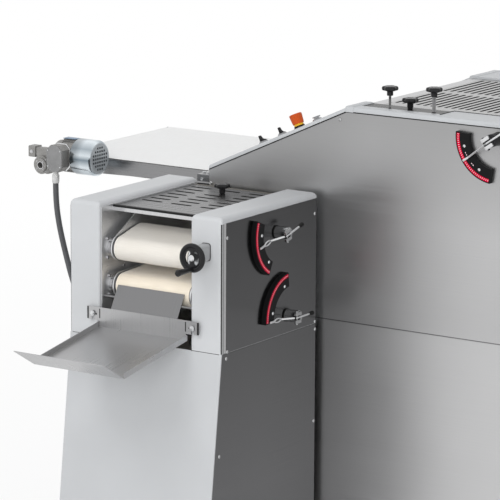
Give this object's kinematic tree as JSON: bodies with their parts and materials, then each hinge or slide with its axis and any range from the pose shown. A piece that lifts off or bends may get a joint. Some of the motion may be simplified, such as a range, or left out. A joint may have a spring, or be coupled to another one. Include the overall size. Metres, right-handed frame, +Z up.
{
  "type": "croissant rolling machine",
  "caption": "Bakery machine for rolling croissants: a belt rolling head with catch tray on a leaning pedestal, set against a sheeting body with sloped top and outfeed conveyor.",
  "frame": {"origin": "on the floor, at the middle of the footprint without the conduit", "axes": "+Z up, +X to the right of the operator who faces the rolling head, +Y from the tray towards the body"},
  "size_m": [1.92, 1.718, 1.488],
  "materials": {
    "grey_paint": "semi-gloss",
    "stainless": "brushed",
    "steel": "ground",
    "aluminium": "cast",
    "felt": "woven",
    "white_belt": "smooth",
    "black_plastic": "gloss",
    "red_plastic": "gloss",
    "yellow_plastic": "satin",
    "motor_paint": "semi-gloss",
    "pale_plastic": "satin",
    "dark_hose": "ribbed",
    "black_rubber": "matte"
  },
  "bodies": {
    "machine": {"pedestal_front_panel": "grey_paint", "side_panels": "stainless", "base_plates": "stainless", "levelling_feet": "black_rubber", "head_left_cheek": "grey_paint", "head_right_cheek": "grey_paint", "head_inner_plates": "stainless", "head_back_plate": "stainless", "guard_bars": "steel", "bearing_flanges": "steel", "handwheel_housing": "grey_paint", "scale_plates": "black_plastic", "chute_plate": "stainless", "main_front_upper_panel": "stainless", "main_front_lower_panel": "stainless", "closing_panels": "stainless", "main_caps": "grey_paint", "main_side_frames": "steel", "slope_cover": "stainless", "knob_plate": "stainless", "switch_collars": "yellow_plastic", "conveyor_frame": "stainless", "conveyor_belt": "white_belt", "gearbox": "aluminium", "motor_body": "motor_paint", "fan_cowl": "motor_paint", "conduit_glands": "pale_plastic", "conduit": "dark_hose", "drive_motor": "motor_paint"},
    "upper_cradle": {"upper_cradle": "stainless", "upper_belt": "felt"},
    "lower_cradle": {"lower_cradle": "stainless", "lower_belt": "felt"},
    "upper_front_drum": {"upper_front_drum": "aluminium"},
    "upper_rear_drum": {"upper_rear_drum": "aluminium"},
    "lower_front_drum": {"lower_front_drum": "aluminium"},
    "lower_rear_drum": {"lower_rear_drum": "aluminium"},
    "upper_lever": {"upper_lever": "steel"},
    "lower_lever": {"lower_lever": "steel"},
    "main_lever": {"main_lever": "steel"},
    "handwheel": {"handwheel": "black_plastic"},
    "handwheel_grip": {"handwheel_grip": "black_plastic"},
    "spindle_nut": {"spindle_nut": "steel"},
    "head_guard": {"head_guard": "stainless"},
    "guard_knob": {"guard_knob": "black_plastic"},
    "tray": {"tray": "stainless"},
    "main_guard": {"main_guard": "stainless"},
    "top_knob_left": {"top_knob_left": "black_plastic"},
    "top_knob_middle": {"top_knob_middle": "black_plastic"},
    "top_knob_right": {"top_knob_right": "black_plastic"},
    "estop_button": {"estop_button": "red_plastic"},
    "selector_left": {"selector_left": "black_plastic"},
    "selector_right": {"selector_right": "black_plastic"},
    "start_button": {"start_button": "aluminium"},
    "fixed_roller": {"fixed_roller": "steel"},
    "gap_roller": {"gap_roller": "steel"},
    "roller_carriage": {"roller_carriage": "steel"},
    "conveyor_drive_roller": {"conveyor_drive_roller": "steel"},
    "conveyor_tail_roller": {"conveyor_tail_roller": "steel"},
    "cooling_fan": {"cooling_fan": "black_plastic"}
  },
  "joints": [
    {"name": "lower_drum_spin", "type": "hinge", "parent": "machine", "child": "lower_front_drum", "pos_m": [-0.175, -0.399, 0.937], "axis": [1, 0, 0], "continuous": true},
    {"name": "lower_rear_drum_spin", "type": "hinge", "parent": "lower_cradle", "child": "lower_rear_drum", "pos_m": [-0.175, -0.076, 0.956], "axis": [1, 0, 0], "continuous": true},
    {"name": "upper_drum_spin", "type": "hinge", "parent": "machine", "child": "upper_front_drum", "pos_m": [-0.175, -0.407, 1.042], "axis": [1, 0, 0], "continuous": true},
    {"name": "upper_rear_drum_spin", "type": "hinge", "parent": "upper_cradle", "child": "upper_rear_drum", "pos_m": [-0.175, -0.316, 1.064], "axis": [1, 0, 0], "continuous": true},
    {"name": "upper_lever_swing", "type": "hinge", "parent": "machine", "child": "upper_lever", "pos_m": [0.0775, -0.2, 1.095], "axis": [1, 0, 0], "range_deg": [-36.5, 46.5]},
    {"name": "lower_lever_swing", "type": "hinge", "parent": "machine", "child": "lower_lever", "pos_m": [0.0775, -0.146, 0.852], "axis": [1, 0, 0], "range_deg": [-82.5, 0.5]},
    {"name": "upper_cradle_tilt", "type": "hinge", "parent": "machine", "child": "upper_cradle", "pos_m": [-0.175, -0.407, 1.042], "axis": [1, 0, 0], "range_deg": [-1.21, 0.95]},
    {"name": "lower_cradle_tilt", "type": "hinge", "parent": "machine", "child": "lower_cradle", "pos_m": [-0.175, -0.399, 0.937], "axis": [1, 0, 0], "range_deg": [0, 1.72]},
    {"name": "main_lever_swing", "type": "hinge", "parent": "machine", "child": "main_lever", "pos_m": [0.6405, 0.024, 1.377], "axis": [0, -1, 0], "range_deg": [-37.5, 45.5]},
    {"name": "carriage_slide", "type": "slide", "parent": "machine", "child": "roller_carriage", "axis": [1, 0, 0], "range_m": [-0.00353, 0.0043]},
    {"name": "fixed_roller_spin", "type": "hinge", "parent": "machine", "child": "fixed_roller", "pos_m": [0.6025, 0.419, 1.345], "axis": [0, 1, 0], "continuous": true},
    {"name": "gap_roller_spin", "type": "hinge", "parent": "roller_carriage", "child": "gap_roller", "pos_m": [0.6785, 0.419, 1.345], "axis": [0, 1, 0], "continuous": true},
    {"name": "handwheel_turn", "type": "hinge", "parent": "machine", "child": "handwheel", "pos_m": [0.027, -0.531, 1.072], "axis": [0, -1, 0], "range_deg": [-1080, 1080]},
    {"name": "handwheel_grip_spin", "type": "hinge", "parent": "handwheel", "child": "handwheel_grip", "pos_m": [0.027, -0.531, 1.042], "axis": [0, 1, 0], "continuous": true},
    {"name": "spindle_nut_slide", "type": "slide", "parent": "machine", "child": "spindle_nut", "axis": [0, 1, 0], "range_m": [-0.0062, 0.0062]},
    {"name": "head_guard_lift", "type": "hinge", "parent": "machine", "child": "head_guard", "pos_m": [-0.175, -0.02, 1.1495], "axis": [-1, 0, 0], "range_deg": [0, 85]},
    {"name": "guard_knob_turn", "type": "hinge", "parent": "head_guard", "child": "guard_knob", "pos_m": [-0.175, -0.091, 1.1555], "axis": [0, 0, 1], "continuous": true},
    {"name": "tray_lift", "type": "slide", "parent": "machine", "child": "tray", "axis": [0, 0, 1], "range_m": [0, 0.06]},
    {"name": "main_guard_lift", "type": "hinge", "parent": "machine", "child": "main_guard", "pos_m": [0.948, 0.419, 1.407], "axis": [0, 1, 0], "range_deg": [0, 95]},
    {"name": "top_knob_left_turn", "type": "hinge", "parent": "machine", "child": "top_knob_left", "pos_m": [0.265, 0.082, 1.415], "axis": [0, 0, 1], "continuous": true},
    {"name": "top_knob_middle_turn", "type": "hinge", "parent": "machine", "child": "top_knob_middle", "pos_m": [0.3189, 0.101, 1.415], "axis": [0, 0, 1], "continuous": true},
    {"name": "top_knob_right_turn", "type": "hinge", "parent": "machine", "child": "top_knob_right", "pos_m": [0.4028, 0.087, 1.415], "axis": [0, 0, 1], "continuous": true},
    {"name": "estop_press", "type": "slide", "parent": "machine", "child": "estop_button", "axis": [0.4139, 0, -0.9103], "range_m": [0, 0.004]},
    {"name": "selector_left_turn", "type": "hinge", "parent": "machine", "child": "selector_left", "pos_m": [-0.13455, 0.06, 1.28408], "axis": [-0.4139, 0, 0.9103], "range_deg": [-45, 45]},
    {"name": "selector_right_turn", "type": "hinge", "parent": "machine", "child": "selector_right", "pos_m": [-0.07174, 0.06, 1.31264], "axis": [-0.4139, 0, 0.9103], "range_deg": [-45, 45]},
    {"name": "start_button_press", "type": "slide", "parent": "machine", "child": "start_button", "axis": [0.4139, 0, -0.9103], "range_m": [0, 0.003], "stiffness_N_per_m": 400, "springref_m": -0.003},
    {"name": "conveyor_drive_spin", "type": "hinge", "parent": "machine", "child": "conveyor_drive_roller", "pos_m": [-0.905, 0.419, 1.1457], "axis": [0, 1, 0], "continuous": true},
    {"name": "conveyor_tail_spin", "type": "hinge", "parent": "machine", "child": "conveyor_tail_roller", "pos_m": [-0.2415, 0.419, 1.1457], "axis": [0, 1, 0], "continuous": true},
    {"name": "cooling_fan_spin", "type": "hinge", "parent": "machine", "child": "cooling_fan", "pos_m": [-0.761, 0.061, 1.1807], "axis": [1, 0, 0], "continuous": true}
  ],
  "couplings": [
    {"joint": "lower_rear_drum_spin", "follows": "lower_drum_spin", "ratio": 1},
    {"joint": "upper_drum_spin", "follows": "lower_drum_spin", "ratio": 0.8},
    {"joint": "upper_rear_drum_spin", "follows": "lower_drum_spin", "ratio": 0.8},
    {"joint": "upper_lever_swing", "follows": "upper_cradle_tilt", "ratio": -38.028},
    {"joint": "lower_lever_swing", "follows": "lower_cradle_tilt", "ratio": -47.745},
    {"joint": "main_lever_swing", "follows": "carriage_slide", "rad_per_m": 182.58},
    {"joint": "gap_roller_spin", "follows": "fixed_roller_spin", "ratio": -1},
    {"joint": "spindle_nut_slide", "follows": "handwheel_turn", "m_per_rad": 0.000318},
    {"joint": "conveyor_tail_spin", "follows": "conveyor_drive_spin", "ratio": 1},
    {"joint": "cooling_fan_spin", "follows": "conveyor_drive_spin", "ratio": 20}
  ]
}
